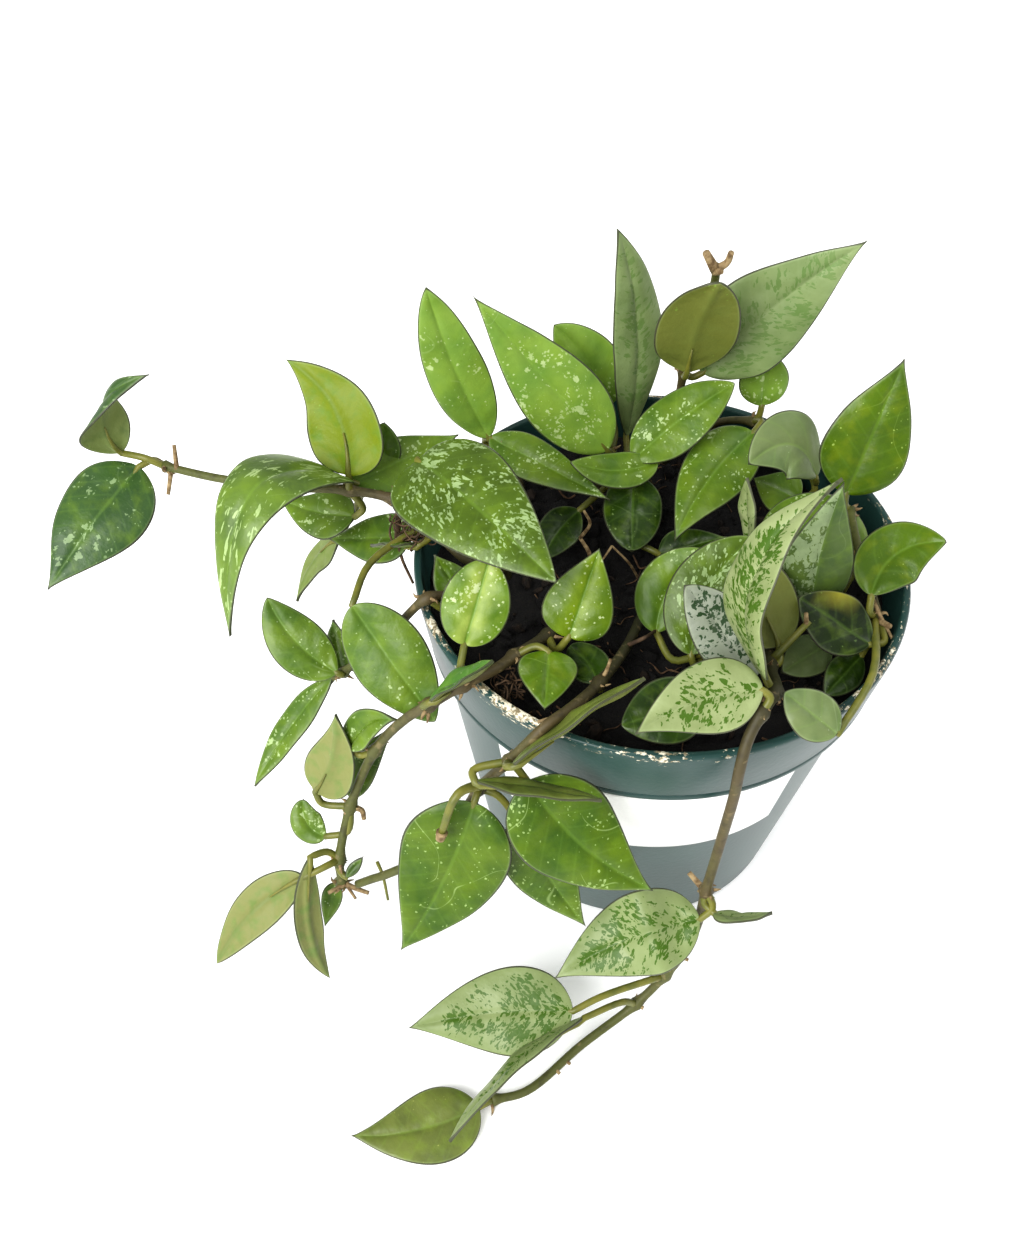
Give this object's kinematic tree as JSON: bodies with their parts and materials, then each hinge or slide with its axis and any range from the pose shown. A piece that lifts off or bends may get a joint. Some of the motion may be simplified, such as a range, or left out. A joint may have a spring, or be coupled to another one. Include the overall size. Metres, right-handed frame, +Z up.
{
  "type": "potted hoya plant",
  "caption": "Trailing house plant with speckled pointed leaves on leafy stems, rooted in a round nursery pot filled with dark soil, with a blank white label.",
  "frame": {"origin": "centre of the pot's flat base pad, where the pot stands on a surface", "axes": "+Z up along the pot's axis, -Y towards the viewer in the picture, +X to the viewer's right"},
  "size_m": [0.1923, 0.1553, 0.1508],
  "materials": {
    "pot_plastic": "dark teal-green moulded polypropylene with a soft sheen and pale mineral scuffs on the rim",
    "potting_soil": "near-black fibrous peat mix, matt",
    "label_paper": "plain white paper sticker, satin",
    "green_leaf": "waxy mid-green leaf with small pale silver flecks",
    "dark_leaf": "waxy dark green leaf with a few pale flecks and a dark edge",
    "silver_leaf": "waxy silver-sage leaf with dark green speckles",
    "bright_leaf": "waxy bright yellow-green leaf"
  },
  "bodies": {
    "root": {"pot": "pot_plastic", "soil": "potting_soil", "label": "label_paper", "left_runner": "green_leaf", "left_low": "green_leaf", "left_trailer": "dark_leaf", "front_trailer": "dark_leaf", "silver_trailer": "silver_leaf", "right_wall": "bright_leaf", "back_rim": "green_leaf", "tall_back": "silver_leaf", "centre_back": "green_leaf", "back_left": "green_leaf", "left_back": "bright_leaf", "centre": "green_leaf"}
  },
  "joints": []
}
